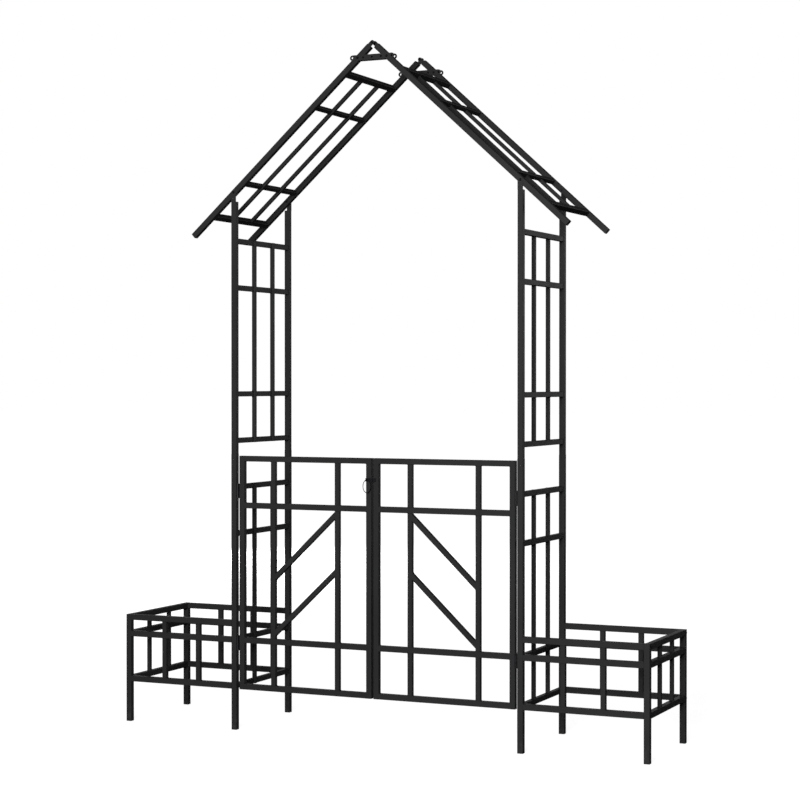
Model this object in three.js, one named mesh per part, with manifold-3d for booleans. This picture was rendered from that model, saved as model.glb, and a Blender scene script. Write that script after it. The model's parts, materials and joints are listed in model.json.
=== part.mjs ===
// A garden arch of square steel tube: a pitched trellis roof on four posts, a planter frame on each
// side, and a pair of gate leaves with a ring latch across the front.
// Millimetres, +Z up, +X to the right, +Y to the back. The origin is on the ground, in the middle.
import * as THREE from 'three'
import { mergeVertices } from 'three/addons/utils/BufferGeometryUtils.js'
import Module from 'manifold-3d'

const wasm = await Module()
wasm.setup()

// Overall sizes
const archWidth = 1096
const archDepth = 419
const overallWidth = 1963.5
const ridgeHeight = 2375.75
const roofPitch = THREE.MathUtils.degToRad(42.2)
const rafterLength = 947

// Tubes: outside sizes, wall and the flat that stands for the rolled corner
const tubeWall = 0.75
const tubeCorner = 1
const smallTube = 13
const postTube = 20
const upperPostTube = 19.25
const rafterTube = 19.5
const gateTube = 19.5
const gateBarTube = 16.75
const planterTube = 20
const planterBarTube = 16.75
const panelRailWidth = 16
const panelRailHeight = 18.5
const panelBarTube = 12.5
const roofRailTube = 16
const roofBarTube = 12

// Posts: the upper tube's neck slips into the lower tube, and its outer wall runs up as a tab
const sleeveHeight = 970.25
const neckLength = 120
const neckClearance = 0.25
const tabLength = 32.5

// Side panels between a front and a rear post: their end rails stand off the sleeve and the shoulder
const lowerPanelBottom = 154.25
const lowerPanelDrop = 117
const upperPanelRise = 46.75
const upperPanelDrop = 137.25
const panelRailShares = [0, 0.2335, 0.7665, 1]
const sideBarShare = 0.1624
const panelBarProud = 1.5

// Roof: places of the crossbars down the slope, and how the rafters meet at the ridge
const crossbarShares = [0.1542, 0.3232, 0.718, 0.8943]
const roofBarDrop = 4.75
const roofBarLap = 3
const ridgeTabInset = 2.25
const ridgeGap = 9

// Gable strap, which straddles the two rafters
const strapDrop = 49.5
const strapHalfLength = 83
const strapHeight = 18.5
const strapWall = 2
const strapGap = 0.5
const strapHoleRadius = 3.5
const strapHolePitch = 33

// Planters
const planterHeight = 385.5
const planterBottomRail = 153.75
const planterRailShares = [0, 0.733, 1]
const planterBarShares = [1 / 3, 2 / 3]

// Gate
const gateBottomRail = 153
const gateTopDrop = 16.25
const gateSetback = 5
const hingeGap = 9.5
const meetingGap = 8
const meetingX = -2
const gateRailShares = [0, 0.2041, 0.7949, 1]
const gateBarShare = 0.2588
const diagonalShares = [[0.067, 0.53], [0.479, 0.948]]

// Hinges: two plates and three knuckles on a pin
const hingeShares = [0.19, 0.858]
const hingeHeight = 50
const hingePlate = 2
const hingePlateDepth = 17
const hingeAxisInset = 2.5
const knuckleGap = 0.5
const middleKnuckleShare = 0.32
const pinRadius = 2.1
const pinClearance = 0.35
const pinHeadRadius = 3
const pinHeadHeight = 1.5

// Latch: a flat bolt that slides in a slotted housing, with a ring to pull it by, and its keeper
const latchShare = 0.92
const latchBoltHeight = 8
const latchBoltThickness = 3.75
const latchBackGap = 0.25
const latchClearance = 0.3
const latchWall = 1
const latchRim = 1.5
const latchEdge = 0.5
const latchTipGap = 1.5
const latchKeeperGap = 1.5
const latchKeeperLength = 8
const latchSlotInset = 3
const latchSlotHeight = 4.4
const ringEyeInset = 6
const ringEyeLength = 3.5
const ringEyeRadius = 2.5
const ringNeckHeight = 3
const ringWireRadius = 1.3
const ringWireClearance = 0.5
const ringGap = 0.45
const ringHalfWidth = 14.5
const ringHalfHeight = 22

// Bolts
const boltShankRadius = 2.5
const boltClearance = 0.3
const boltHeadRadius = 4.5
const boltHeadHeight = 3.75
const boltHeadCrownShare = 0.6
const nutRadius = 4.6
const nutHeight = 4
const boltTip = 1.5
const planterBoltHeadHeight = 2.5
const planterBoltTail = 8

// Steps in round forms, and how far a cutting tool runs past what it cuts
const roundSteps = 10
const strapEndSteps = 3
const boltSteps = 8
const holeSteps = 8
const nutSides = 6
const ringSteps = 28
const wireSteps = 6
const overrun = 1

const steel = new THREE.MeshStandardMaterial({ color: 0x2b2b2d, roughness: 0.5, metalness: 0.6 })
const zinc = new THREE.MeshStandardMaterial({ color: 0x36363a, roughness: 0.4, metalness: 0.8 })

// Places worked out from the sizes
const halfWidth = archWidth / 2
const halfDepth = archDepth / 2
const postX = halfWidth - postTube / 2
const postY = halfDepth - postTube / 2
const lowerInnerY = halfDepth - postTube
const upperInnerY = postY + upperPostTube / 2 - upperPostTube
const upperOuterY = postY + upperPostTube / 2
const legX = overallWidth / 2 - planterTube / 2
const legY = halfDepth - planterTube / 2
const postBoltHeight = ridgeHeight - postX * Math.tan(roofPitch)
const shoulderHeight = postBoltHeight - tabLength
const lowerPanelTop = sleeveHeight - lowerPanelDrop
const gateTopRail = sleeveHeight - gateTopDrop
const sideBarY = archDepth * sideBarShare
const gateFaceY = -halfDepth + gateSetback
const gateY = gateFaceY + gateTube / 2
const leafOuterX = halfWidth - postTube - hingeGap
const leafInnerX = meetingGap / 2
const meetingEdge = (side) => meetingX + side * leafInnerX
const hingeX = halfWidth - postTube - hingeGap / 2
const hingeY = -halfDepth + hingeAxisInset
const latchZ = THREE.MathUtils.lerp(gateBottomRail, gateTopRail, latchShare)

const X = new THREE.Vector3(1, 0, 0)
const Y = new THREE.Vector3(0, 1, 0)
const at = (x, y, z) => new THREE.Vector3(x, y, z)
const sides = { left: -1, right: 1 }
const faces = { front: -1, rear: 1 }

// Joining and cutting
function solid(geometry) {
  const plain = geometry.clone()
  plain.deleteAttribute('normal')
  plain.deleteAttribute('uv')
  const merged = mergeVertices(plain)
  const corners = merged.index.array
  const kept = []
  for (let i = 0; i < corners.length; i += 3) {
    const [a, b, c] = corners.slice(i, i + 3)
    if (a !== b && b !== c && c !== a) kept.push(a, b, c)
  }
  return new wasm.Manifold(new wasm.Mesh({
    numProp: 3,
    vertProperties: new Float32Array(merged.attributes.position.array),
    triVerts: new Uint32Array(kept),
  }))
}

function geometryOf(body) {
  const mesh = body.getMesh()
  const geometry = new THREE.BufferGeometry()
  geometry.setAttribute('position', new THREE.BufferAttribute(mesh.vertProperties, 3))
  geometry.setIndex(new THREE.BufferAttribute(mesh.triVerts, 1))
  geometry.computeVertexNormals()
  return geometry
}

const join = (bodies) => bodies.reduce((sum, body) => sum.add(body))
const cut = (body, tools) => tools.reduce((rest, tool) => rest.subtract(tool), body)

// A box from two opposite corners, given in any order
function block(a, b) {
  const box = new THREE.Box3().setFromPoints([a, b])
  const size = box.getSize(new THREE.Vector3())
  const geometry = new THREE.BoxGeometry(size.x, size.y, size.z)
  const middle = box.getCenter(new THREE.Vector3())
  return solid(geometry.translate(middle.x, middle.y, middle.z))
}

// A round bar between two points
function rod(radius, a, b, steps = roundSteps) {
  const along = b.clone().sub(a)
  const geometry = new THREE.CylinderGeometry(radius, radius, along.length(), steps)
  const turn = new THREE.Quaternion().setFromUnitVectors(Y, along.normalize())
  const middle = a.clone().add(b).multiplyScalar(0.5)
  return solid(geometry.applyQuaternion(turn).translate(middle.x, middle.y, middle.z))
}

// A rectangle with its corners taken off, for the outside of a tube
function tubeOutline(width, depth, corner) {
  const w = width / 2
  const d = depth / 2
  const shape = new THREE.Shape()
  shape.moveTo(w - corner, -d)
  if (corner > 0) shape.lineTo(w, -d + corner)
  shape.lineTo(w, d - corner)
  if (corner > 0) shape.lineTo(w - corner, d)
  shape.lineTo(-w + corner, d)
  if (corner > 0) shape.lineTo(-w, d - corner)
  shape.lineTo(-w, -d + corner)
  if (corner > 0) shape.lineTo(-w + corner, -d)
  return shape
}

// A straight prism from start to end; its width lies along `across`
function prism(width, depth, corner, start, end, across) {
  const along = end.clone().sub(start)
  const outline = tubeOutline(width, depth, corner)
  const geometry = new THREE.ExtrudeGeometry(outline, { depth: along.length(), bevelEnabled: false })
  along.normalize()
  const third = along.clone().cross(across)
  const frame = new THREE.Matrix4().makeBasis(across, third, along).setPosition(start)
  return solid(geometry.applyMatrix4(frame))
}

// One tube of a welded frame. Its bore runs out through an open end and stops a wall short of a
// closed one; where it ends inside another tube, the two bores join. Small tubes keep sharp corners.
function tube(start, end, across, width, depth = width, open = { start: false, end: false }) {
  const along = end.clone().sub(start).normalize()
  const boreStart = start.clone().addScaledVector(along, open.start ? -overrun : tubeWall)
  const boreEnd = end.clone().addScaledVector(along, open.end ? overrun : -tubeWall)
  return {
    outside: prism(width, depth, width > smallTube ? tubeCorner : 0, start, end, across),
    bore: prism(width - 2 * tubeWall, depth - 2 * tubeWall, 0, boreStart, boreEnd, across),
  }
}

// Tubes welded into one frame: the outsides are joined, then every bore and hole is cut out
function weld(tubes, holes = [], plates = []) {
  const outside = join(tubes.map((piece) => piece.outside))
  const hollow = cut(outside, [join(tubes.map((piece) => piece.bore))])
  return geometryOf(cut(join([hollow, ...plates]), holes))
}

const openEnds = { start: true, end: true }
const openStart = { start: true, end: false }
const openTop = { start: false, end: true }

// A bolt hole along Y through a piece whose faces lie at y0 and y1
const boltHoleRadius = boltShankRadius + boltClearance
const holeAlongY = (x, z, y0, y1) => rod(
  boltHoleRadius,
  at(x, Math.min(y0, y1) - overrun, z),
  at(x, Math.max(y0, y1) + overrun, z),
  holeSteps,
)

const heightsOf = (bottom, top, shares) => shares.map((share) => THREE.MathUtils.lerp(bottom, top, share))

// Posts
function lowerPost() {
  return weld([tube(at(0, 0, 0), at(0, 0, sleeveHeight), X, postTube, postTube, openTop)])
}

function upperPost() {
  const neckTube = postTube - 2 * tubeWall - 2 * neckClearance
  const neck = tube(
    at(0, 0, sleeveHeight - neckLength),
    at(0, 0, sleeveHeight + tubeWall),
    X,
    neckTube,
    neckTube,
    openEnds,
  )
  const shaft = tube(
    at(0, 0, sleeveHeight),
    at(0, 0, shoulderHeight),
    X,
    upperPostTube,
    upperPostTube,
    openTop,
  )
  const outerFace = -upperPostTube / 2
  const innerFace = outerFace + tubeWall
  const tab = join([
    block(at(outerFace, outerFace, shoulderHeight - overrun), at(-outerFace, innerFace, postBoltHeight)),
    rod(upperPostTube / 2, at(0, outerFace, postBoltHeight), at(0, innerFace, postBoltHeight)),
  ])
  return weld([neck, shaft], [holeAlongY(0, postBoltHeight, outerFace, innerFace)], [tab])
}

// A side panel: four rails between the posts and two bars that stand a little proud of them
function sidePanel(side, bottom, top, reach) {
  const rails = heightsOf(bottom, top, panelRailShares).map((z) => tube(
    at(0, -reach, z),
    at(0, reach, z),
    X,
    panelRailWidth,
    panelRailHeight,
    openEnds,
  ))
  const barX = -side * (postTube / 2 + panelBarProud - panelBarTube / 2)
  const bars = [-sideBarY, sideBarY].map((y) => tube(
    at(barX, y, bottom - panelRailHeight / 2),
    at(barX, y, top + panelRailHeight / 2),
    X,
    panelBarTube,
  ))
  return weld([...rails, ...bars])
}

// Roof. A place on a slope is given by its distance from the ridge and its height off the centre plane
function onSlope(side, distance, y, lift = 0) {
  return at(
    side * (distance * Math.cos(roofPitch) + lift * Math.sin(roofPitch)),
    y,
    ridgeHeight - distance * Math.sin(roofPitch) + lift * Math.cos(roofPitch),
  )
}

const slopeOf = (side) => at(side * Math.cos(roofPitch), 0, -Math.sin(roofPitch))

// The rafters lap at the ridge. A tab runs up to the bolt there, from the outer wall of each left
// rafter and from the inner wall of each right one, which lies a wall's thickness further in.
const rafterFace = (side) => upperOuterY - tubeWall * (side < 0 ? 1 : 2)
const lapDepth = rafterFace(-1) - rafterFace(1) + rafterTube
const strapZ = ridgeHeight - strapDrop
const strapBoltX = strapDrop / Math.tan(roofPitch)

function rafter(side, face) {
  const outer = face * rafterFace(side)
  const inner = outer - face * rafterTube
  const middle = (outer + inner) / 2
  const tabWidth = rafterTube - 2 * ridgeTabInset
  const start = tabWidth / 2 + ridgeGap
  const body = tube(
    onSlope(side, start, middle),
    onSlope(side, rafterLength, middle),
    Y,
    rafterTube,
    rafterTube,
    openEnds,
  )
  const tabStart = side < 0 ? outer : inner + face * tubeWall
  const tabEnd = tabStart - face * tubeWall
  const tabMiddle = (tabStart + tabEnd) / 2
  const tab = join([
    prism(
      tubeWall,
      tabWidth,
      0,
      onSlope(side, 0, tabMiddle),
      onSlope(side, start + overrun, tabMiddle),
      Y,
    ),
    rod(tabWidth / 2, at(0, tabStart, ridgeHeight), at(0, tabEnd, ridgeHeight)),
  ])
  const holes = [
    holeAlongY(0, ridgeHeight, outer, inner),
    holeAlongY(side * strapBoltX, strapZ, outer, inner),
    holeAlongY(side * postX, postBoltHeight, outer, inner),
  ]
  return weld([body], holes, [tab])
}

function roofLattice(side) {
  const reach = rafterFace(side) - rafterTube
  const distances = crossbarShares.map((share) => share * rafterLength)
  const sizes = [rafterTube, roofRailTube, roofRailTube, rafterTube]
  const crossbars = distances.map((distance, i) => tube(
    onSlope(side, distance, -reach),
    onSlope(side, distance, reach),
    slopeOf(side),
    sizes[i],
    sizes[i],
    openEnds,
  ))
  const first = distances[0] + rafterTube / 2 - roofBarLap
  const last = distances[3]
  const bars = [-sideBarY, sideBarY].map((y) => tube(
    onSlope(side, first, y, -roofBarDrop),
    onSlope(side, last, y, -roofBarDrop),
    Y,
    roofBarTube,
  ))
  return weld([...crossbars, ...bars])
}

// The gable strap: a front and a back wall with round ends, joined above and below only between the
// rafters that run through it. Its local y = 0 lies on the left rafter's outer face.
function gableStrap() {
  const straight = strapHalfLength - strapHeight / 2
  const back = lapDepth + strapWall
  const outline = new THREE.Shape()
  outline.absarc(straight, 0, strapHeight / 2, -Math.PI / 2, Math.PI / 2, false)
  outline.absarc(-straight, 0, strapHeight / 2, Math.PI / 2, 3 * Math.PI / 2, false)
  const bar = new THREE.ExtrudeGeometry(outline, {
    depth: back + strapWall,
    bevelEnabled: false,
    curveSegments: strapEndSteps,
  }).rotateX(Math.PI / 2).translate(0, back, strapZ)
  const roomHalf = strapHeight / 2 - strapWall
  const room = block(
    at(-strapHalfLength, 0, strapZ - roomHalf),
    at(strapHalfLength, lapDepth, strapZ + roomHalf),
  )
  const lift = strapHalfLength - rafterTube / 2 - strapGap
  const passages = [-1, 1].map((side) => prism(
    lapDepth,
    2 * strapHalfLength,
    0,
    onSlope(side, 0, lapDepth / 2, lift),
    onSlope(side, 2 * strapHalfLength, lapDepth / 2, lift),
    Y,
  ))
  const open = [-straight, -strapHolePitch, 0, strapHolePitch, straight].map((x) => rod(
    strapHoleRadius,
    at(x, -strapWall - overrun, strapZ),
    at(x, back + overrun, strapZ),
    holeSteps,
  ))
  const bolted = [-strapBoltX, strapBoltX].map((x) => holeAlongY(x, strapZ, -strapWall, back))
  return geometryOf(cut(solid(bar), [room, ...passages, ...open, ...bolted]))
}

// A bolt along +Y with its head's seat at y = 0; its shank runs past the grip by the given tail
function bolt(grip, headHeight, tail) {
  const end = grip + tail
  const profile = [
    [0, -headHeight],
    [boltHeadRadius * boltHeadCrownShare, -headHeight],
    [boltHeadRadius, -headHeight / 3],
    [boltHeadRadius, 0],
    [boltShankRadius, 0],
    [boltShankRadius, end],
    [0, end],
  ].map(([radius, y]) => new THREE.Vector2(radius, y))
  return solid(new THREE.LatheGeometry(profile, boltSteps))
}

// A bolt with a hexagon nut seated at y = grip
function boltAndNut(grip) {
  const nut = new THREE.CylinderGeometry(nutRadius, nutRadius, nutHeight, nutSides)
  const seated = solid(nut.translate(0, grip + nutHeight / 2, 0))
  return geometryOf(bolt(grip, boltHeadHeight, nutHeight + boltTip).add(seated))
}

// Planters
const planterRails = heightsOf(planterBottomRail, planterHeight - planterTube / 2, planterRailShares)
const boltedRails = { bottom: planterRails[0], top: planterRails[2] }

const holeAlongX = (y, z, x0, x1) => rod(
  boltHoleRadius,
  at(Math.min(x0, x1) - overrun, y, z),
  at(Math.max(x0, x1) + overrun, y, z),
  holeSteps,
)

function planterEnd(side) {
  const x = side * legX
  const legs = [-legY, legY].map((y) => tube(at(x, y, 0), at(x, y, planterHeight), X, planterTube))
  const rails = planterRails.map((z) => tube(at(x, -legY, z), at(x, legY, z), X, planterTube))
  const bars = [-sideBarY, sideBarY].map((y) => tube(
    at(x, y, planterRails[0]),
    at(x, y, planterRails[2]),
    X,
    panelBarTube,
  ))
  const holes = [-legY, legY].flatMap((y) => Object.values(boltedRails).map((z) => holeAlongX(
    y,
    z,
    x - planterTube / 2,
    x + planterTube / 2,
  )))
  return weld([...legs, ...rails, ...bars], holes)
}

function planterPanel(side, face) {
  const y = face * legY
  const inner = side * halfWidth
  const outer = side * (legX - planterTube / 2)
  const rails = planterRails.map((z) => tube(
    at(inner, y, z),
    at(outer, y, z),
    Y,
    planterTube,
    planterTube,
    openStart,
  ))
  const bars = planterBarShares.map((share) => {
    const x = THREE.MathUtils.lerp(inner, outer, share)
    return tube(at(x, y, planterRails[0]), at(x, y, planterRails[2]), X, planterBarTube)
  })
  const holes = Object.values(boltedRails).map((z) => holeAlongX(y, z, outer, outer - side * tubeWall))
  return weld([...rails, ...bars], holes)
}

// Gate leaf: a welded frame with two bars and two rising diagonals between them
function gateLeaf(side) {
  const inner = meetingEdge(side) + (side * gateTube) / 2
  const outer = side * (leafOuterX - gateTube / 2)
  const leafWidth = leafOuterX - leafInnerX
  const heights = heightsOf(gateBottomRail, gateTopRail, gateRailShares)
  const [bottom, lower, upper, top] = heights
  const stiles = [inner, outer].map((x) => tube(
    at(x, gateY, bottom - gateTube / 2),
    at(x, gateY, top + gateTube / 2),
    X,
    gateTube,
    gateTube,
    openStart,
  ))
  const rails = heights.map((z) => tube(at(inner, gateY, z), at(outer, gateY, z), Y, gateTube))
  const innerBarX = side * (leafInnerX + leafWidth * gateBarShare)
  const outerBarX = side * (leafOuterX - leafWidth * gateBarShare)
  const bars = [innerBarX, outerBarX].map((x) => tube(
    at(x, gateY, bottom),
    at(x, gateY, top),
    X,
    gateBarTube,
  ))
  const clear = Math.abs(outerBarX - innerBarX) - gateBarTube
  const diagonals = diagonalShares.map(([low, high]) => {
    const z0 = THREE.MathUtils.lerp(lower, upper, low)
    const z1 = THREE.MathUtils.lerp(lower, upper, high)
    const sink = (z1 - z0) / clear * gateBarTube / 2
    return tube(at(outerBarX, gateY, z0 - sink), at(innerBarX, gateY, z1 + sink), Y, gateBarTube)
  })
  return weld([...stiles, ...rails, ...bars, ...diagonals])
}

// Hinges. Local origin on the pin, halfway up; `toGate` is the way along X from the post to the gate
const hingeHalf = hingeHeight / 2
const middleKnuckle = hingeHeight * middleKnuckleShare
const knuckleRadius = hingeGap / 2 - knuckleGap
const knuckleSeat = middleKnuckle / 2 + knuckleGap / 2
const knuckleRoom = knuckleRadius + knuckleGap

function hingeOnPost(toGate) {
  const back = -toGate * hingeGap / 2
  const plate = block(at(back, 0, -hingeHalf), at(back + toGate * hingePlate, hingePlateDepth, hingeHalf))
  const middleRoom = rod(knuckleRoom, at(0, 0, -knuckleSeat), at(0, 0, knuckleSeat))
  const knuckles = [-1, 1].map((end) => rod(
    knuckleRadius,
    at(0, 0, end * knuckleSeat),
    at(0, 0, end * hingeHalf),
  ))
  const pin = rod(pinRadius, at(0, 0, -hingeHalf), at(0, 0, hingeHalf))
  const heads = [-1, 1].map((end) => rod(
    pinHeadRadius,
    at(0, 0, end * hingeHalf),
    at(0, 0, end * (hingeHalf + pinHeadHeight)),
  ))
  return geometryOf(join([cut(plate, [middleRoom]), ...knuckles, pin, ...heads]))
}

function hingeOnGate(toGate) {
  const back = toGate * hingeGap / 2
  const plate = block(at(back, 0, -hingeHalf), at(back - toGate * hingePlate, hingePlateDepth, hingeHalf))
  const endRooms = [-1, 1].map((end) => rod(
    knuckleRoom,
    at(0, 0, end * middleKnuckle / 2),
    at(0, 0, end * (hingeHalf + overrun)),
  ))
  const knuckle = rod(knuckleRadius, at(0, 0, -middleKnuckle / 2), at(0, 0, middleKnuckle / 2))
  const bore = rod(pinRadius + pinClearance, at(0, 0, -hingeHalf), at(0, 0, hingeHalf))
  return geometryOf(cut(join([cut(plate, endRooms), knuckle]), [bore]))
}

// Latch
const latchRoomHeight = latchBoltHeight + 2 * latchClearance
const latchRoomDepth = latchBackGap + latchBoltThickness + latchBackGap
const latchFrontY = gateFaceY - latchRoomDepth - latchWall
const latchHalfHeight = latchRoomHeight / 2 + latchRim
const latchLeftX = meetingEdge(-1) - gateTube + latchEdge
const latchRightX = meetingEdge(-1) - latchEdge
const latchTipX = meetingEdge(1) - latchTipGap
const keeperX = meetingEdge(1) + latchKeeperGap
const ringEyeX = latchLeftX + ringEyeInset
const ringY = latchFrontY - ringGap - ringWireRadius

// A block on the leaf's front face with a channel for the bolt along X, open to the face behind it
function latchBlock(x0, x1) {
  const body = block(
    at(x0, latchFrontY, latchZ - latchHalfHeight),
    at(x1, gateFaceY, latchZ + latchHalfHeight),
  )
  const channel = block(
    at(x0 - overrun, gateFaceY - latchRoomDepth, latchZ - latchRoomHeight / 2),
    at(x1 + overrun, gateFaceY + overrun, latchZ + latchRoomHeight / 2),
  )
  return cut(body, [channel])
}

function latchHousing() {
  const slot = block(
    at(latchLeftX + latchSlotInset, latchFrontY - overrun, latchZ - latchSlotHeight / 2),
    at(latchRightX + overrun, gateFaceY - latchRoomDepth + overrun, latchZ + latchSlotHeight / 2),
  )
  return geometryOf(cut(latchBlock(latchLeftX, latchRightX), [slot]))
}

function latchBolt() {
  const front = gateFaceY - latchBackGap - latchBoltThickness
  const bar = block(
    at(latchLeftX + latchEdge, front, latchZ - latchBoltHeight / 2),
    at(latchTipX, gateFaceY - latchBackGap, latchZ + latchBoltHeight / 2),
  )
  const neck = block(
    at(ringEyeX - ringEyeLength / 2, ringY, latchZ - ringNeckHeight / 2),
    at(ringEyeX + ringEyeLength / 2, front + overrun, latchZ + ringNeckHeight / 2),
  )
  const eye = rod(
    ringEyeRadius,
    at(ringEyeX - ringEyeLength / 2, ringY, latchZ),
    at(ringEyeX + ringEyeLength / 2, ringY, latchZ),
  )
  const hole = rod(
    ringWireRadius + ringWireClearance,
    at(ringEyeX - ringEyeLength, ringY, latchZ),
    at(ringEyeX + ringEyeLength, ringY, latchZ),
  )
  return geometryOf(cut(join([bar, neck, eye]), [hole]))
}

// An oval ring of round wire: a torus whose centre line is drawn out to the oval
function latchRing() {
  const geometry = new THREE.TorusGeometry(ringHalfWidth, ringWireRadius, wireSteps, ringSteps)
  const places = geometry.attributes.position
  for (let i = 0; i < places.count; i += 1) {
    const angle = Math.atan2(places.getY(i), places.getX(i))
    places.setY(i, places.getY(i) + (ringHalfHeight - ringHalfWidth) * Math.sin(angle))
  }
  return geometryOf(solid(geometry.rotateX(Math.PI / 2)))
}

// Assembly
const arch = new THREE.Group()

function place(name, geometry, material, x = 0, y = 0, z = 0, turn = 0) {
  const mesh = new THREE.Mesh(geometry, material)
  mesh.name = name
  mesh.position.set(x, y, z)
  mesh.rotation.z = turn
  arch.add(mesh)
}

const turnTo = { front: 0, rear: Math.PI }
const lowerPostGeometry = lowerPost()
const upperPostGeometry = upperPost()
const planterBolt = geometryOf(bolt(planterTube, planterBoltHeadHeight, planterBoltTail))

for (const [sideName, side] of Object.entries(sides)) {
  for (const [faceName, face] of Object.entries(faces)) {
    const corner = `${faceName}_${sideName}`
    const turn = turnTo[faceName]
    place(`post_lower_${corner}`, lowerPostGeometry, steel, side * postX, face * postY)
    place(`post_upper_${corner}`, upperPostGeometry, steel, side * postX, face * postY, 0, turn)
    place(`rafter_${corner}`, rafter(side, face), steel)
    place(`planter_panel_${corner}`, planterPanel(side, face), steel)

    const rafterInner = rafterFace(side) - rafterTube
    const postBolt = boltAndNut(upperOuterY - rafterInner)
    place(`post_bolt_${corner}`, postBolt, zinc, side * postX, face * upperOuterY, postBoltHeight, turn)
    const strapFront = rafterFace(-1) + strapWall
    const strapBolt = boltAndNut(lapDepth + 2 * strapWall)
    place(`strap_bolt_${corner}`, strapBolt, zinc, side * strapBoltX, face * strapFront, strapZ, turn)
    for (const [railName, z] of Object.entries(boltedRails)) {
      const outward = side * Math.PI / 2
      const name = `planter_bolt_${corner}_${railName}`
      place(name, planterBolt, zinc, side * (legX + planterTube / 2), face * legY, z, outward)
    }
  }
  const upperBottom = sleeveHeight + upperPanelRise
  const upperTop = shoulderHeight - upperPanelDrop
  const lowerPanel = sidePanel(side, lowerPanelBottom, lowerPanelTop, lowerInnerY)
  const upperPanel = sidePanel(side, upperBottom, upperTop, upperInnerY)
  place(`side_panel_lower_${sideName}`, lowerPanel, steel, side * postX)
  place(`side_panel_upper_${sideName}`, upperPanel, steel, side * postX)
  place(`roof_lattice_${sideName}`, roofLattice(side), steel)
  place(`planter_end_${sideName}`, planterEnd(side), steel)
  place(`gate_leaf_${sideName}`, gateLeaf(side), steel)

  const hingeHeights = heightsOf(gateBottomRail, gateTopRail, hingeShares)
  for (const [i, level] of ['lower', 'upper'].entries()) {
    const spot = [side * hingeX, hingeY, hingeHeights[i]]
    place(`hinge_post_${level}_${sideName}`, hingeOnPost(-side), zinc, ...spot)
    place(`hinge_gate_${level}_${sideName}`, hingeOnGate(-side), zinc, ...spot)
  }
}

for (const [faceName, face] of Object.entries(faces)) {
  const turn = turnTo[faceName]
  const outer = face * rafterFace(-1)
  place(`gable_strap_${faceName}`, gableStrap(), steel, 0, outer, 0, turn)
  place(`ridge_bolt_${faceName}`, boltAndNut(lapDepth), zinc, 0, outer, ridgeHeight, turn)
}

place('latch_housing', latchHousing(), zinc)
place('latch_bolt', latchBolt(), zinc)
place('latch_keeper', geometryOf(latchBlock(keeperX, keeperX + latchKeeperLength)), zinc)
place('latch_ring', latchRing(), zinc, ringEyeX, ringY, latchZ - ringHalfHeight)

export default arch
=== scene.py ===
# %% [markdown]
# # A garden arch of black square tube
#
# The arch is a flat-pack garden frame: thin steel tubes, cut, welded into ladders and coated with
# black powder. Two planter frames stand beside it and a pair of gate leaves closes its front.
# This lesson loads the measured steelwork, sets it up to be photographed as the catalogue does,
# and then adds what a welder, a coater and an assembler leave behind: weld beads, a powder skin,
# screws, plugs and the tips of threads.

# %% Load the steelwork
import json
import math

import bmesh
import bpy
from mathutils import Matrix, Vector


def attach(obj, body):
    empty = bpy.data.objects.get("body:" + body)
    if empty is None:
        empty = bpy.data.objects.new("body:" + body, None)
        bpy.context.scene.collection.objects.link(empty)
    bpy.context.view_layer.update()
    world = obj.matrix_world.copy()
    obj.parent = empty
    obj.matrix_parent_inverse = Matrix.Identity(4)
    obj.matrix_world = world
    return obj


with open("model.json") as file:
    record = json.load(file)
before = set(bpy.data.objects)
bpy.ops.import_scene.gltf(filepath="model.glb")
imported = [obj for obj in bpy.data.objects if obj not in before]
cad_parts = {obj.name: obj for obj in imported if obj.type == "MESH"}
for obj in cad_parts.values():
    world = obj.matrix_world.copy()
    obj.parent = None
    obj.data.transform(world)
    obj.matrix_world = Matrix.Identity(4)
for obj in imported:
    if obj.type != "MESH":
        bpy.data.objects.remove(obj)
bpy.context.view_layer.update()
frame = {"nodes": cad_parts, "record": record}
steelwork = frame["nodes"]

# %% [markdown]
# ## The camera
#
# The catalogue picture is taken from the right of the gate, a little below eye height and almost
# level, so the posts stay upright. Its lens follows from how the two planters shrink with
# distance: 1977 pixels of focal length on a picture 800 pixels wide. Blender counts focal length
# on a 36 mm sensor, which makes an 89 mm portrait lens, about seven metres away.

# %% Set the camera
PICTURE_WIDTH = 800
FOCAL_PIXELS = 1976.8
SENSOR = 36.0
CAMERA_PLACE = (2.8817, -6.2767, 1.2278)
CAMERA_LOOKS_DOWN = 0.563
CAMERA_TURN = 24.596
FARTHEST_SEEN = 200

lens = bpy.data.cameras.new("catalogue_lens")
lens.sensor_width = SENSOR
lens.lens = FOCAL_PIXELS * SENSOR / PICTURE_WIDTH
lens.clip_end = FARTHEST_SEEN
camera = bpy.data.objects.new("catalogue_camera", lens)
camera.location = CAMERA_PLACE
camera.rotation_euler = (math.radians(90 - CAMERA_LOOKS_DOWN), 0, math.radians(CAMERA_TURN))
bpy.context.scene.collection.objects.link(camera)
bpy.context.scene.camera = camera
bpy.context.scene.view_settings.view_transform = "Standard"
print("focal length:", round(lens.lens, 2), "mm")

# %% [markdown]
# ## Two small helpers
#
# Paint shops name colours by hex values, which are written for screens. Blender mixes light in
# linear values, so one function turns a hex colour into the numbers that a shader expects.
# The other adds a node, sets what it needs and joins its inputs, whatever kind of node it is.

# %% Helpers for colours and nodes


def linear(hex_colour):
    """An sRGB hex colour as linear red, green, blue and a full alpha."""
    channels = [int(hex_colour[i:i + 2], 16) / 255 for i in (1, 3, 5)]
    return [c / 12.92 if c <= 0.04045 else ((c + 0.055) / 1.055) ** 2.4 for c in channels] + [1.0]


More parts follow.
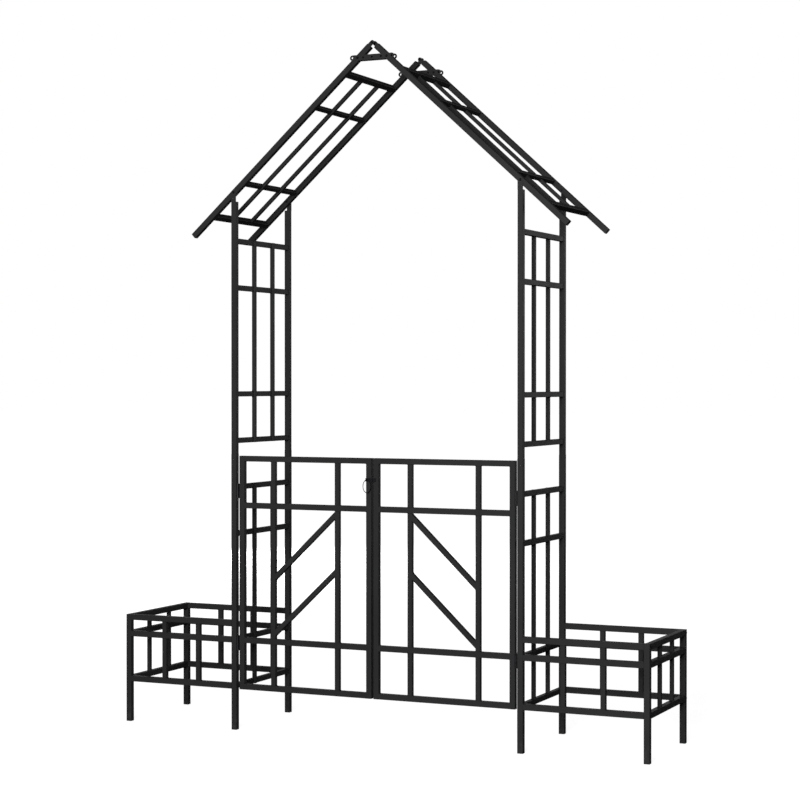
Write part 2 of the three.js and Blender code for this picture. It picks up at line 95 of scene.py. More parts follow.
def add_node(tree, kind, inputs=None, **settings):
    """Adds a node. An input is given by its name or number, as a value or as a socket to link."""
    node = tree.nodes.new(kind)
    for name, value in settings.items():
        setattr(node, name, value)
    for key, value in (inputs or {}).items():
        if isinstance(value, bpy.types.NodeSocket):
            tree.links.new(value, node.inputs[key])
        else:
            node.inputs[key].default_value = value
    return node


print("middle grey in linear light:", round(linear("#808080")[0], 3))

# %% [markdown]
# ## A white floor that stays dark to the steel
#
# Satin black steel shows the room around it. In the catalogue picture the right-hand faces of the
# tubes brighten with height and the undersides stay black, so that room is bright at the horizon
# and dark below. The floor is one large sheet with two looks. Where the camera looks at it,
# straight or through glass, it is a pale sheet that a little glow lifts to white, and the arch
# still shades it. To the steel it is a dark cloth, as photographers lay to keep stray light off.

# %% Lay the floor
PALE_SHEET = "#A8A8A8"
DARK_CLOTH = "#484848"
GLOW_NEAR = 0.9
GLOW_FAR = 1.0
GLOW_RISES_FROM = 1.5
GLOW_RISES_TO = 9.0
FLOOR_REACH = 60


def seen_directly(tree):
    """1 for the rays by which the camera looks at a surface, straight or through glass, else 0."""
    rays = add_node(tree, "ShaderNodeLightPath").outputs
    either = {0: rays["Is Camera Ray"], 1: rays["Is Transmission Ray"]}
    return add_node(tree, "ShaderNodeMath", either, operation="MAXIMUM").outputs[0]


pale_floor = bpy.data.materials.new("pale_studio_floor")
pale_floor.use_nodes = True
tree = pale_floor.node_tree
tree.nodes.clear()
sheet = add_node(tree, "ShaderNodeBsdfDiffuse", {"Color": linear(PALE_SHEET)}).outputs[0]
cloth = add_node(tree, "ShaderNodeBsdfDiffuse", {"Color": linear(DARK_CLOTH)}).outputs[0]
spot = add_node(tree, "ShaderNodeTexCoord").outputs["Object"]
away = add_node(tree, "ShaderNodeVectorMath", {0: spot}, operation="LENGTH").outputs["Value"]
glow_strength = add_node(
    tree,
    "ShaderNodeMapRange",
    {
        "Value": away,
        "From Min": GLOW_RISES_FROM,
        "From Max": GLOW_RISES_TO,
        "To Min": GLOW_NEAR,
        "To Max": GLOW_FAR,
    },
).outputs[0]
glow = add_node(tree, "ShaderNodeEmission", {"Color": linear("#FFFFFF"), "Strength": glow_strength})
lifted = add_node(tree, "ShaderNodeAddShader", {0: sheet, 1: glow.outputs[0]}).outputs[0]
floor_look = add_node(tree, "ShaderNodeMixShader", {0: seen_directly(tree), 1: cloth, 2: lifted})
add_node(tree, "ShaderNodeOutputMaterial", {"Surface": floor_look.outputs[0]})

floor_mesh = bpy.data.meshes.new("studio_floor")
floor_corners = [(x * FLOOR_REACH, y * FLOOR_REACH, 0) for x, y in ((-1, -1), (1, -1), (1, 1), (-1, 1))]
floor_mesh.from_pydata(floor_corners, [], [(0, 1, 2, 3)])
floor_mesh.materials.append(pale_floor)
floor = bpy.data.objects.new("studio_floor", floor_mesh)
bpy.context.scene.collection.objects.link(floor)
print("floor:", 2 * FLOOR_REACH, "m square")

# %% [markdown]
# ## The world around it
#
# The world is plain white where the camera looks at it. In reflections it is white at the horizon
# and darkens overhead, which gives the upright tubes their gleam. As a light it stays dim, so the
# lamps decide how bright each side of a tube is.

# %% Make the world
SKY_LEVEL = 0.12
HORIZON_LEVEL = 1.0
SKY_OVERHEAD = 0.05
SKY_DARKENS_BY = 0.3

world = bpy.data.worlds.new("white_studio")
bpy.context.scene.world = world
world.use_nodes = True
tree = world.node_tree
tree.nodes.clear()
way = add_node(tree, "ShaderNodeTexCoord").outputs["Generated"]
upward = add_node(tree, "ShaderNodeSeparateXYZ", {0: way}).outputs["Z"]
is_glossy = add_node(tree, "ShaderNodeLightPath").outputs["Is Glossy Ray"]
level = add_node(
    tree, "ShaderNodeMapRange", {"Value": is_glossy, "To Min": SKY_LEVEL, "To Max": HORIZON_LEVEL}
).outputs[0]
sky_strength = add_node(
    tree,
    "ShaderNodeMapRange",
    {"Value": upward, "From Max": SKY_DARKENS_BY, "To Min": level, "To Max": SKY_OVERHEAD},
).outputs[0]
sky = add_node(tree, "ShaderNodeBackground", {"Color": linear("#FFFFFF"), "Strength": sky_strength})
white = add_node(tree, "ShaderNodeBackground", {"Color": linear("#FFFFFF"), "Strength": 1.0})
both = add_node(
    tree, "ShaderNodeMixShader", {0: seen_directly(tree), 1: sky.outputs[0], 2: white.outputs[0]}
)
add_node(tree, "ShaderNodeOutputWorld", {"Surface": both.outputs[0]})
print("world:", world.name, "with", len(tree.nodes), "nodes")

# %% [markdown]
# ## Two softboxes
#
# Both are big compared with the tubes, so no highlight has a hard edge. The front one hangs behind
# the camera, to its left, and gives the fronts their even dark grey. The rear one lights the sides
# that the catalogue doesn't show. It is polarised, so to speak: it lights the coat but isn't
# mirrored in it, and it stands low, so that the rails' top faces stay dark.

# %% Hang the lamps
LAMPS_AIM_AT = Vector((0, 0, 1.2))


def hang_softbox(name, place, width, height, watts, mirrored=True):
    """An area lamp at a place, facing the arch. A polarised one isn't mirrored in the coat."""
    lamp = bpy.data.lights.new(name, "AREA")
    lamp.shape = "RECTANGLE"
    lamp.size = width
    lamp.size_y = height
    lamp.energy = watts
    softbox = bpy.data.objects.new(name, lamp)
    softbox.location = place
    softbox.rotation_euler = (LAMPS_AIM_AT - Vector(place)).to_track_quat("-Z", "Y").to_euler()
    softbox.visible_camera = False
    softbox.visible_glossy = mirrored
    bpy.context.scene.collection.objects.link(softbox)
    print(name, "hangs", round((LAMPS_AIM_AT - Vector(place)).length, 1), "m away")


hang_softbox("softbox_front", (1.6, -7.6, 2.4), width=2.6, height=2.0, watts=660)
hang_softbox("softbox_rear", (-5.2, 5.6, 1.1), width=2.6, height=1.2, watts=400, mirrored=False)

# %% [markdown]
# ## Black powder coat
#
# Polyester powder is sprayed on dry, clings by static charge and is baked to a skin about 0.08 mm
# thick. The satin black kind spreads what it reflects widely, and its surface has the faint
# dimples that coaters call orange peel. They are 1 to 2 mm across. Here they are drawn 7 mm
# across, because finer ones would vanish in a picture of the whole arch.
# A slow drift in the colour stands for the uneven film, and a thin dusting lies near the ground.

# %% Mix the powder coat
MM = 0.001
ORANGE_PEEL = 7 * MM
ORANGE_PEEL_HEIGHT = 0.12 * MM
FILM_DRIFT = 160 * MM
SHEEN_DRIFT = 30 * MM
DUST_GRAINS = 9 * MM
DUST_REACH = 70 * MM
DUST_SHARE = 0.5
# Noise seldom leaves this span, so a pattern that fills it runs from one tone to the other.
NOISE_SPAN = {"From Min": 0.3, "From Max": 0.7}
# Plain plastic would have a specular level of 0.5. This coat is matted, so it mirrors far less.
COAT_GLOSS = {"IOR": 1.5, "Specular IOR Level": 0.115}


def start_finish(name):
    """A material with an empty tree, and the coordinates in which its patterns are drawn."""
    finish = bpy.data.materials.new(name)
    finish.use_nodes = True
    tree = finish.node_tree
    tree.nodes.clear()
    return finish, tree, add_node(tree, "ShaderNodeTexCoord").outputs["Object"]


def grain_of(place, size, detail=2.0):
    """The inputs of a noise whose features are about that many metres across."""
    return {"Vector": place, "Scale": 0.5 / size, "Detail": detail, "Roughness": 0.5}


coat, tree, place = start_finish("satin_black_polyester_powder_coat")
film = add_node(tree, "ShaderNodeTexNoise", grain_of(place, FILM_DRIFT)).outputs["Fac"]
film_share = add_node(tree, "ShaderNodeMapRange", {"Value": film, **NOISE_SPAN}).outputs[0]
coat_colour = add_node(
    tree,
    "ShaderNodeMix",
    {0: film_share, 6: linear("#252526"), 7: linear("#2A2A2B")},
    data_type="RGBA",
).outputs[2]
height = add_node(tree, "ShaderNodeSeparateXYZ", {0: place}).outputs["Z"]
near_ground = add_node(
    tree,
    "ShaderNodeMapRange",
    {"Value": height, "From Min": 0, "From Max": DUST_REACH, "To Min": DUST_SHARE, "To Max": 0},
).outputs[0]
grains = add_node(tree, "ShaderNodeTexNoise", grain_of(place, DUST_GRAINS, detail=4.0)).outputs["Fac"]
grain_share = add_node(
    tree, "ShaderNodeMapRange", {"Value": grains, "From Min": 0.45, "From Max": 0.75}
).outputs[0]
dust = add_node(tree, "ShaderNodeMath", {0: near_ground, 1: grain_share}, operation="MULTIPLY").outputs[0]
dusty = add_node(
    tree, "ShaderNodeMix", {0: dust, 6: coat_colour, 7: linear("#4A4844")}, data_type="RGBA"
).outputs[2]
peel = add_node(tree, "ShaderNodeTexNoise", grain_of(place, ORANGE_PEEL, detail=1.0)).outputs["Fac"]
dimples = add_node(
    tree, "ShaderNodeBump", {"Height": peel, "Strength": 0.5, "Distance": ORANGE_PEEL_HEIGHT}
).outputs[0]
sheen = add_node(tree, "ShaderNodeTexNoise", grain_of(place, SHEEN_DRIFT)).outputs["Fac"]
coat_roughness = add_node(
    tree, "ShaderNodeMapRange", {"Value": sheen, **NOISE_SPAN, "To Min": 0.36, "To Max": 0.44}
).outputs[0]
coat_shader = add_node(
    tree,
    "ShaderNodeBsdfPrincipled",
    {"Base Color": dusty, "Roughness": coat_roughness, "Normal": dimples, **COAT_GLOSS},
)
add_node(tree, "ShaderNodeOutputMaterial", {"Surface": coat_shader.outputs[0]})
print(coat.name, "with", len(tree.nodes), "nodes")

# %% [markdown]
# ## Black zinc, grey zinc flake and black plastic
#
# Bolts, hinges and the latch are zinc plated and dipped in a black bath. The thin film lets a
# little of the metal through, so they gleam more than the tubes, and the bath leaves fine streaks.
# The sleeve screws are dipped in zinc flake: a grey metal skin, duller than plating, with a soft
# shine. Real flakes are a few hundredths of a millimetre wide and are drawn 0.8 mm wide to show.
# The plugs are moulded polyethylene: dark, even and a little waxy, with the grain of a
# spark-eroded mould, which is drawn 1.2 mm wide for the same reason. In all three, one noise
# moves the colour, the gloss and the relief together, so one function mixes them.

# %% Mix the zinc and the plastic
FINE_RELIEF = 0.05 * MM


def mottled_finish(name, grain, detail, tones, roughness, relief, constants):
    """A material whose colour, roughness and relief all follow one noise of that grain."""
    finish, tree, place = start_finish(name)
    pattern = add_node(tree, "ShaderNodeTexNoise", grain_of(place, grain, detail)).outputs["Fac"]
    share = add_node(tree, "ShaderNodeMapRange", {"Value": pattern, **NOISE_SPAN}).outputs[0]
    dark, light = [linear(tone) for tone in tones]
    colour = add_node(tree, "ShaderNodeMix", {0: share, 6: dark, 7: light}, data_type="RGBA").outputs[2]
    smooth, rough = roughness
    dulling = add_node(
        tree, "ShaderNodeMapRange", {"Value": pattern, **NOISE_SPAN, "To Min": smooth, "To Max": rough}
    ).outputs[0]
    shader = add_node(
        tree, "ShaderNodeBsdfPrincipled", {"Base Color": colour, "Roughness": dulling, **constants}
    )
    if relief:
        bumps = {"Height": pattern, "Strength": relief, "Distance": FINE_RELIEF}
        tree.links.new(add_node(tree, "ShaderNodeBump", bumps).outputs[0], shader.inputs["Normal"])
    add_node(tree, "ShaderNodeOutputMaterial", {"Surface": shader.outputs[0]})
    print(name, "with", len(tree.nodes), "nodes")
    return finish


fitting = mottled_finish(
    "black_passivated_zinc_plate",
    grain=2 * MM,
    detail=3.0,
    tones=("#161618", "#202024"),
    roughness=(0.38, 0.5),
    relief=0.3,
    constants={"Metallic": 0.85},
)
zinc_flake = mottled_finish(
    "grey_zinc_flake_coating",
    grain=0.8 * MM,
    detail=2.0,
    tones=("#4A4C50", "#5C5E62"),
    roughness=(0.28, 0.4),
    relief=0,
    constants={"Metallic": 1.0},
)
plug_plastic = mottled_finish(
    "black_moulded_polyethylene",
    grain=1.2 * MM,
    detail=3.0,
    tones=("#121213", "#171718"),
    roughness=(0.5, 0.6),
    relief=0.4,
    constants={"IOR": 1.5, "Specular IOR Level": 0.11},
)

# %% [markdown]
# ## Dressing the steelwork
#
# Each measured piece names the finish it was ordered in: powder on what is welded from tube,
# black zinc on what is bought as hardware. So the pieces can be dressed in one pass.

# %% Dress the steelwork
finishes = {"powder_coat": coat, "black_fittings": fitting}
slot_of = {part["node"]: part["material_slot"] for part in frame["record"]["subparts"]}
for name, piece in steelwork.items():
    piece.data.materials.clear()
    piece.data.materials.append(finishes[slot_of[name]])
print("finishes:", {slot: sum(s == slot for s in slot_of.values()) for slot in finishes})

# %% [markdown]
# ## From a node tree to plain mesh pieces
#
# Welds, screws, plugs and threads repeat, so each kind is made by a Geometry Nodes tree. A tree
# gets named inputs for its sizes. They are set on the modifier by the sockets' identifiers, the
# evaluated result is taken as a plain mesh, and the modifier goes, since the finished part holds
# meshes only.

# %% Helpers for node trees


def start_tree(name, sizes):
    """A geometry tree with a geometry input, the named sizes and a material, and one output."""
    tree = bpy.data.node_groups.new(name, "GeometryNodeTree")
    tree.interface.new_socket("Geometry", in_out="INPUT", socket_type="NodeSocketGeometry")
    for label, value in sizes.items():
        socket = tree.interface.new_socket(label, in_out="INPUT", socket_type="NodeSocketFloat")
        socket.default_value = value
    tree.interface.new_socket("Material", in_out="INPUT", socket_type="NodeSocketMaterial")
    tree.interface.new_socket("Geometry", in_out="OUTPUT", socket_type="NodeSocketGeometry")
    return tree, add_node(tree, "NodeGroupInput").outputs


def end_tree(tree, geometry, material):
    """Ends a tree in plain geometry with its material."""
    plain = add_node(tree, "GeometryNodeRealizeInstances", {"Geometry": geometry}).outputs[0]
    finished = add_node(tree, "GeometryNodeSetMaterial", {"Geometry": plain, "Material": material})
    add_node(tree, "NodeGroupOutput", {0: finished.outputs[0]})
    print(tree.name, "has", len(tree.nodes), "nodes")


def grow(name, mesh, tree, sizes, material, body):
    """Runs a tree on a mesh and keeps the result as a plain piece that rides on a body."""
    host = bpy.data.objects.new(name + "_host", mesh)
    bpy.context.scene.collection.objects.link(host)
    modifier = host.modifiers.new(name, "NODES")
    modifier.node_group = tree
    inputs = {item.name: item.identifier for item in tree.interface.items_tree if item.in_out == "INPUT"}
    for label, value in sizes.items():
        modifier[inputs[label]] = value
    modifier[inputs["Material"]] = material
    evaluated = host.evaluated_get(bpy.context.evaluated_depsgraph_get())
    result = bpy.data.meshes.new_from_object(evaluated)
    host.modifiers.remove(modifier)
    bpy.data.objects.remove(host)
    result.name = name
    piece = bpy.data.objects.new(name, result)
    bpy.context.scene.collection.objects.link(piece)
    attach(piece, body)
    triangles = sum(len(face.vertices) - 2 for face in result.polygons)
    print(name, "on", body, "triangles:", triangles)


# %% [markdown]
# ## Weld beads
#
# On the real arch every place where one tube meets another is closed by a small fillet weld, which
# the powder then covers. Drawing them one by one would need every joint's place twice. The steel
# itself knows them: a weld runs wherever two faces meet in an inward corner. So the tree keeps the
# edges whose angle is concave, turns them into curves and sweeps a bead along them, a little fatter
# at every second step, as a welder's dabs are. The hollows of the tubes have inward corners too.
# They are left out in two ways: a weld is never longer than a tube is wide, and a short ray from a
# hollow's corner meets the tube's other wall. The ray is tilted a little, as one that aims straight
# at the opposite corner could slip through its seam. The narrow flats of the rolled corners are
# passed over too, as a bead that short would stand out as a ball.

# %% Choose the edges to weld
WELD_SIZES = {
    "Bead Radius": 1.6 * MM,
    "Dab Spacing": 2.0 * MM,
    "Dab Share": 0.84,
    "Shortest Weld": 3 * MM,
    "Longest Weld": 24 * MM,
    "Open Air": 32 * MM,
}
SAME_PLACE = 0.01 * MM
# In radians. The angle across an edge is below zero where the corner points inwards.
INWARD_ANGLE = -0.55
RAY_STARTS_OFF = 0.2 * MM
RAY_TILT = (0.0, 0.08, 0.06)

weld_tree, given = start_tree("fillet_welds", WELD_SIZES)
merged = add_node(
    weld_tree, "GeometryNodeMergeByDistance", {"Geometry": given["Geometry"], "Distance": SAME_PLACE}
).outputs[0]
edge_angle = add_node(weld_tree, "GeometryNodeInputMeshEdgeAngle").outputs["Signed Angle"]
is_inward = add_node(
    weld_tree,
    "FunctionNodeCompare",
    {0: edge_angle, 1: INWARD_ANGLE},
    data_type="FLOAT",
    operation="LESS_THAN",
).outputs[0]
ends = add_node(weld_tree, "GeometryNodeInputMeshEdgeVertices").outputs
edge_length = add_node(
    weld_tree,
    "ShaderNodeVectorMath",
    {0: ends["Position 1"], 1: ends["Position 2"]},
    operation="DISTANCE",
).outputs["Value"]
is_short = add_node(
    weld_tree,
    "FunctionNodeCompare",
    {0: edge_length, 1: given["Longest Weld"]},
    data_type="FLOAT",
    operation="LESS_THAN",
).outputs[0]
is_no_flat = add_node(
    weld_tree,
    "FunctionNodeCompare",
    {0: edge_length, 1: given["Shortest Weld"]},
    data_type="FLOAT",
    operation="GREATER_THAN",
).outputs[0]
fits_a_tube = add_node(weld_tree, "FunctionNodeBooleanMath", {0: is_short, 1: is_no_flat}).outputs[0]
is_tube_corner = add_node(
    weld_tree, "FunctionNodeBooleanMath", {0: is_inward, 1: fits_a_tube}
).outputs[0]
print(weld_tree.name, "chooses edges with", len(weld_tree.nodes), "nodes")

# %% Leave out the hollows and sweep the beads
BEAD_SIDES = 6

corner_place = add_node(weld_tree, "GeometryNodeInputPosition").outputs[0]
outward = add_node(weld_tree, "GeometryNodeInputNormal").outputs[0]
step_off = add_node(
    weld_tree, "ShaderNodeVectorMath", {0: outward, "Scale": RAY_STARTS_OFF}, operation="SCALE"
).outputs[0]
ray_start = add_node(weld_tree, "ShaderNodeVectorMath", {0: corner_place, 1: step_off}).outputs[0]
ray_way = add_node(weld_tree, "ShaderNodeVectorMath", {0: outward, 1: RAY_TILT}).outputs[0]
is_blocked = add_node(
    weld_tree,
    "GeometryNodeRaycast",
    {
        "Target Geometry": merged,
        "Source Position": ray_start,
        "Ray Direction": ray_way,
        "Ray Length": given["Open Air"],
    },
).outputs["Is Hit"]
is_weld = add_node(
    weld_tree, "FunctionNodeBooleanMath", {0: is_tube_corner, 1: is_blocked}, operation="NIMPLY"
).outputs[0]
seams = add_node(
    weld_tree, "GeometryNodeMeshToCurve", {"Mesh": merged, "Selection": is_weld}
).outputs[0]
dabs = add_node(
    weld_tree, "GeometryNodeResampleCurve", {"Curve": seams, "Length": given["Dab Spacing"]}, mode="LENGTH"
).outputs[0]
step_number = add_node(weld_tree, "GeometryNodeInputIndex").outputs[0]
odd_or_even = add_node(weld_tree, "ShaderNodeMath", {0: step_number, 1: 2.0}, operation="MODULO").outputs[0]
dab_share = add_node(
    weld_tree, "ShaderNodeMapRange", {"Value": odd_or_even, "To Min": given["Dab Share"], "To Max": 1.0}
).outputs[0]
round_section = add_node(
    weld_tree,
    "GeometryNodeCurvePrimitiveCircle",
    {"Resolution": BEAD_SIDES, "Radius": given["Bead Radius"]},
).outputs[0]
beads = add_node(
    weld_tree,
    "GeometryNodeCurveToMesh",
    {"Curve": dabs, "Profile Curve": round_section, "Scale": dab_share, "Fill Caps": True},
).outputs[0]
end_tree(weld_tree, beads, given["Material"])

# %% Grow the beads on each body
WELDED = {
    "arch": ("side_panel_", "planter_end_", "planter_panel_", "roof_lattice_"),
    "left_leaf": ("gate_leaf_left",),
    "right_leaf": ("gate_leaf_right",),
}


def joined_steel(prefixes):
    """One mesh of all steel pieces whose names start so."""
    corners = []
    faces = []
    for name in sorted(steelwork):
        if not name.startswith(prefixes):
            continue
        piece = steelwork[name]
        first = len(corners)
        corners += [piece.matrix_world @ vertex.co for vertex in piece.data.vertices]
        faces += [[first + i for i in face.vertices] for face in piece.data.polygons]
    mesh = bpy.data.meshes.new("joined_steel")
    mesh.from_pydata(corners, [], faces)
    return mesh


for body, prefixes in WELDED.items():
    grow("welds_" + body, joined_steel(prefixes), weld_tree, WELD_SIZES, coat, body)

# %% [markdown]
# ## One button head
#
# A small button-head screw holds each upper post in its lower one, and a second one stiffens its
# tab under the roof. They are grey zinc, so the photograph shows each as a lighter dot. A cylinder
# would look like a pin, so one head is turned on a lathe, so to speak: a few rings of points, with
# a hexagonal socket sunk into them.

# %% Turn one button head
# Radius and height in mm, from the seat up over the crown and down into the socket.
HEAD_RINGS = [(2.7, 0.0), (2.7, 0.35), (2.35, 0.95), (1.75, 1.3), (1.25, 1.35), (1.2, 0.6), (0.0, 0.5)]
HEAD_SIDES = 18
SOCKET_RINGS = (4, 5)


def to_mesh(name, shape):
    """Turns a bmesh's faces outwards and keeps it as a mesh."""
    bmesh.ops.recalc_face_normals(shape, faces=shape.faces)
    mesh = bpy.data.meshes.new(name)
    shape.to_mesh(mesh)
    shape.free()
    print(name, "faces:", len(mesh.polygons))
    return mesh


def turned(name, rings, sides, hexagonal):
    """A closed body of rings (radius, height in mm) around Z. Some rings are hexagonal."""
    steel = bmesh.new()
    loops = []
    for number, (radius, height) in enumerate(rings):
        if radius == 0:
            loops.append([steel.verts.new((0, 0, height * MM))] * sides)
            continue
        loop = []
        for i in range(sides):
            turn = math.tau * i / sides
            to_flat = (turn + math.pi / 6) % (math.pi / 3) - math.pi / 6
            flat = math.cos(math.pi / 6) / math.cos(to_flat) if number in hexagonal else 1
            reach = radius * flat * MM
            loop.append(steel.verts.new((reach * math.cos(turn), reach * math.sin(turn), height * MM)))
        loops.append(loop)
    for lower, upper in zip(loops, loops[1:]):
        for i in range(sides):
            j = (i + 1) % sides
            corners = [lower[i], lower[j], upper[j], upper[i]]
            steel.faces.new(list(dict.fromkeys(corners)))
    steel.faces.new(list(reversed(loops[0])))
    return to_mesh(name, steel)


button_head = turned("button_head", HEAD_RINGS, HEAD_SIDES, SOCKET_RINGS)

# %% [markdown]
# ## One tree that sets copies on marked points
#
# Each point carries two directions: where the copy faces and where its side points. The tree turns
# the copy's Z to the first and its X to the second, sets it there and makes it real. The same tree
# serves screws and plugs, which differ in their pattern only.

# %% Build the setting tree


def start_setting_tree(name, pattern):
    """A tree that sets a pattern mesh on points by their facing and side attributes."""
    source = bpy.data.objects.new(name + "_pattern", pattern)
    tree, given = start_tree(name, {"Scale": 1.0})
    shape = add_node(tree, "GeometryNodeObjectInfo", {"Object": source}).outputs["Geometry"]
    facing, side = [
        add_node(
            tree, "GeometryNodeInputNamedAttribute", {"Name": label}, data_type="FLOAT_VECTOR"
        ).outputs[0]
        for label in ("facing", "side")
    ]
    faced = add_node(tree, "FunctionNodeAlignRotationToVector", {"Vector": facing}, axis="Z").outputs[0]
    turned_round = add_node(
        tree,
        "FunctionNodeAlignRotationToVector",
        {"Rotation": faced, "Vector": side},
        axis="X",
        pivot_axis="Z",
    ).outputs[0]
    copies = add_node(
        tree,
        "GeometryNodeInstanceOnPoints",
        {"Points": given["Geometry"], "Instance": shape, "Rotation": turned_round, "Scale": given["Scale"]},
    ).outputs[0]
    end_tree(tree, copies, given["Material"])
    return tree


def marked_points(name, marks):
    """A mesh of loose points, each with a place, a facing and a side direction."""
    mesh = bpy.data.meshes.new(name)
    mesh.from_pydata([place for place, facing, side in marks], [], [])
    for label, column in (("facing", 1), ("side", 2)):
        layer = mesh.attributes.new(label, "FLOAT_VECTOR", "POINT")
        for number, mark in enumerate(marks):
            layer.data[number].vector = mark[column]
    return mesh


# %% [markdown]
# ## Screws in the sleeve joints
#
# The screws sit on the posts' front and rear faces, a little outside the middle, as the photograph
# shows. Their height is the one thing to measure. The face that each stands on is the edge of its
# post's own box, so a screw can't float or sink.

# %% Set the screws
SCREW_HEIGHTS = {"post_lower_": 0.9498, "post_upper_": 1.8676}
SCREW_OFFSET = 3 * MM
SCREW_SCALE = 0.8


def box_of(name):
    """The lowest and highest corner of a steel piece."""
    piece = steelwork[name]
    corners = [piece.matrix_world @ vertex.co for vertex in piece.data.vertices]
    return [Vector(pick(c[axis] for c in corners) for axis in range(3)) for pick in (min, max)]


screw_marks = []
for prefix, height in SCREW_HEIGHTS.items():
    for row, outward_y in (("front", -1), ("rear", 1)):
        for side in ("left", "right"):
            low, high = box_of(prefix + row + "_" + side)
            face_y = low.y if outward_y < 0 else high.y
            middle_x = (low.x + high.x) / 2
            screw_x = middle_x + math.copysign(SCREW_OFFSET, middle_x)
            screw_marks.append(((screw_x, face_y, height), (0, outward_y, 0), (1, 0, 0)))

grow(
    "sleeve_screws",
    marked_points("screw_marks", screw_marks),
    start_setting_tree("set_screws", button_head),
    {"Scale": SCREW_SCALE},
    zinc_flake,
    "arch",
)

# %% [markdown]
# ## Plugs in the rafters' lower ends
#
# The rafters end in the open, so each cut tube is closed by a pushed-in plastic plug with a thin
# lip. The plug's place needs no measuring: it is where the rafter reaches furthest down its slope,
# and it faces the way that the cut end faces.

# %% Mould one tube plug
# All in mm.
PLUG_SIDE = 19.0
PLUG_CORNER = 1.6
PLUG_LIP = 1.2
LIP_ROUNDING = 0.3
PLUG_CROWN = 0.5
CROWN_STARTS_IN = 0.3 * PLUG_SIDE


def square_plug(name):
    """A square plastic plug: a lip with round corners and a slightly crowned face."""
    plastic = bmesh.new()
    loops = []
    for inset, height in (
        (0, 0),
        (0, PLUG_LIP - LIP_ROUNDING),
        (LIP_ROUNDING, PLUG_LIP),
        (CROWN_STARTS_IN, PLUG_LIP + PLUG_CROWN),
    ):
        middle = PLUG_SIDE / 2 - inset - PLUG_CORNER
        loop = []
        for quarter, (x_sign, y_sign) in enumerate(((1, 1), (-1, 1), (-1, -1), (1, -1))):
            for share in (0, 0.5, 1):
                turn = math.pi / 2 * (quarter + share)
                x = x_sign * middle + PLUG_CORNER * math.cos(turn)
                y = y_sign * middle + PLUG_CORNER * math.sin(turn)
                loop.append(plastic.verts.new((x * MM, y * MM, height * MM)))
        loops.append(loop)
    for lower, upper in zip(loops, loops[1:]):
        for i in range(len(lower)):
            j = (i + 1) % len(lower)
            plastic.faces.new((lower[i], lower[j], upper[j], upper[i]))
    plastic.faces.new(list(reversed(loops[0])))
    plastic.faces.new(loops[-1])
    return to_mesh(name, plastic)


tube_plug = square_plug("tube_plug")

# %% Set the plugs
PLUG_SINKS = 0.4 * MM
# How far a face's normal points some way: hardly at all, or clearly.
HARDLY = 0.01
CLEARLY = 0.3


def lower_end(name):
    """The middle of a rafter's lower cut end and the direction down its slope."""
    mesh = steelwork[name].data
    outer_side = math.copysign(1, sum(vertex.co.x for vertex in mesh.vertices))
    cut_faces = [
        face
        for face in mesh.polygons
        if abs(face.normal.y) < HARDLY
        and face.normal.z < -CLEARLY
        and face.normal.x * outer_side > CLEARLY
    ]
    down = min(cut_faces, key=lambda face: face.center.z).normal.copy()
    reach = max(vertex.co.dot(down) for vertex in mesh.vertices)
    rim = [vertex.co for vertex in mesh.vertices if reach - vertex.co.dot(down) < SAME_PLACE]
    middle = Vector((min(c[axis] for c in rim) + max(c[axis] for c in rim)) / 2 for axis in range(3))
    return middle, down


plug_marks = []
for name in sorted(steelwork):
    if name.startswith("rafter_"):
        middle, down = lower_end(name)
        plug_marks.append((middle - down * PLUG_SINKS, down, (0, 1, 0)))
        print(name, "ends at", [round(v, 4) for v in middle])
grow(
    "tube_plugs",
    marked_points("plug_marks", plug_marks),
    start_setting_tree("set_plugs", tube_plug),
    {"Scale": 1.0},
    plug_plastic,
    "arch",
)

# %% [markdown]
# ## Threads on the bolts' tips
#
# The bolts at the ridge, the gable ties and the posts reach a little past their nuts, so the last
# turns of their threads show. A thread is a ridge along a helix: a spiral curve of the metric pitch
# with a small section swept along it. Real M5 threads are 0.8 mm apart, which is finer than the
# picture can show, but they are kept true, because a close view from under the roof does show them.

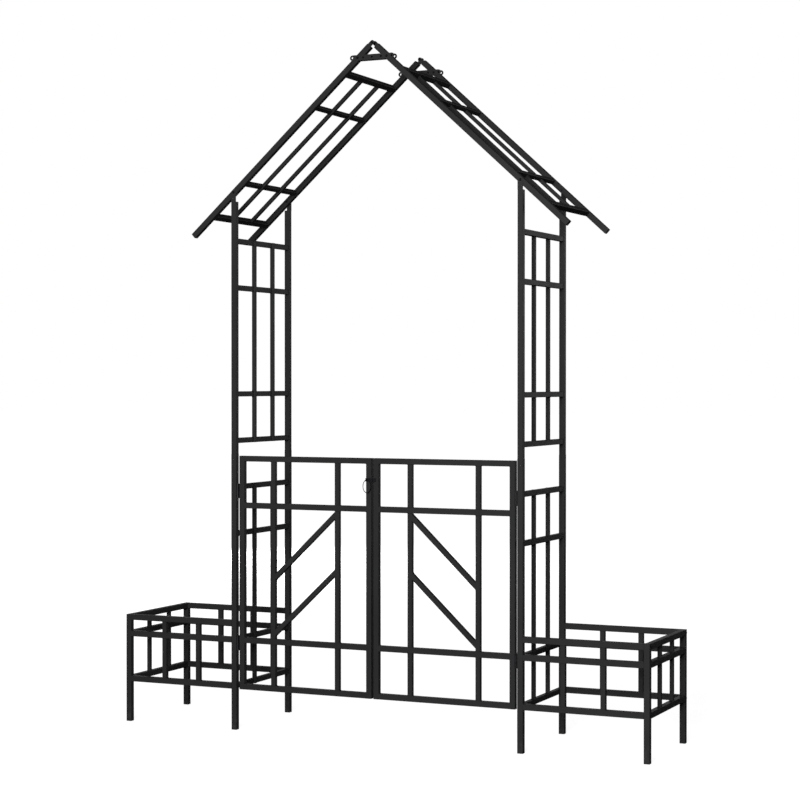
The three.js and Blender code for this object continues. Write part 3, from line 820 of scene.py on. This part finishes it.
# %% Build the thread tree
THREAD_SIZES = {"Turns": 1.5, "Pitch": 0.8 * MM, "Shank": 2.4 * MM, "Ridge": 0.22 * MM}
STEPS_A_TURN = 16
RIDGE_SIDES = 4

thread_tree, given = start_tree("bolt_threads", THREAD_SIZES)
thread_length = add_node(
    thread_tree, "ShaderNodeMath", {0: given["Turns"], 1: given["Pitch"]}, operation="MULTIPLY"
).outputs[0]
helix = add_node(
    thread_tree,
    "GeometryNodeCurveSpiral",
    {
        "Resolution": STEPS_A_TURN,
        "Rotations": given["Turns"],
        "Start Radius": given["Shank"],
        "End Radius": given["Shank"],
        "Height": thread_length,
    },
).outputs[0]
ridge = add_node(
    thread_tree, "GeometryNodeCurvePrimitiveCircle", {"Resolution": RIDGE_SIDES, "Radius": given["Ridge"]}
).outputs[0]
one_thread = add_node(
    thread_tree, "GeometryNodeCurveToMesh", {"Curve": helix, "Profile Curve": ridge, "Fill Caps": True}
).outputs[0]
facing = add_node(
    thread_tree, "GeometryNodeInputNamedAttribute", {"Name": "facing"}, data_type="FLOAT_VECTOR"
).outputs[0]
faced = add_node(thread_tree, "FunctionNodeAlignRotationToVector", {"Vector": facing}, axis="Z").outputs[0]
threads = add_node(
    thread_tree,
    "GeometryNodeInstanceOnPoints",
    {"Points": given["Geometry"], "Instance": one_thread, "Rotation": faced},
).outputs[0]
end_tree(thread_tree, threads, given["Material"])

# %% Cut the threads
NUTTED_BOLTS = ("ridge_bolt_", "strap_bolt_", "post_bolt_")
THREAD_LENGTH = THREAD_SIZES["Turns"] * THREAD_SIZES["Pitch"] + THREAD_SIZES["Ridge"]

thread_marks = []
for name in sorted(steelwork):
    if name.startswith(NUTTED_BOLTS):
        low, high = box_of(name)
        middle = (low + high) / 2
        inward = -1 if middle.y > 0 else 1
        tip_y = low.y if inward < 0 else high.y
        start = (middle.x, tip_y - inward * THREAD_LENGTH, middle.z)
        thread_marks.append((start, (0, inward, 0), (1, 0, 0)))
grow(
    "bolt_threads",
    marked_points("thread_marks", thread_marks),
    thread_tree,
    THREAD_SIZES,
    fitting,
    "arch",
)
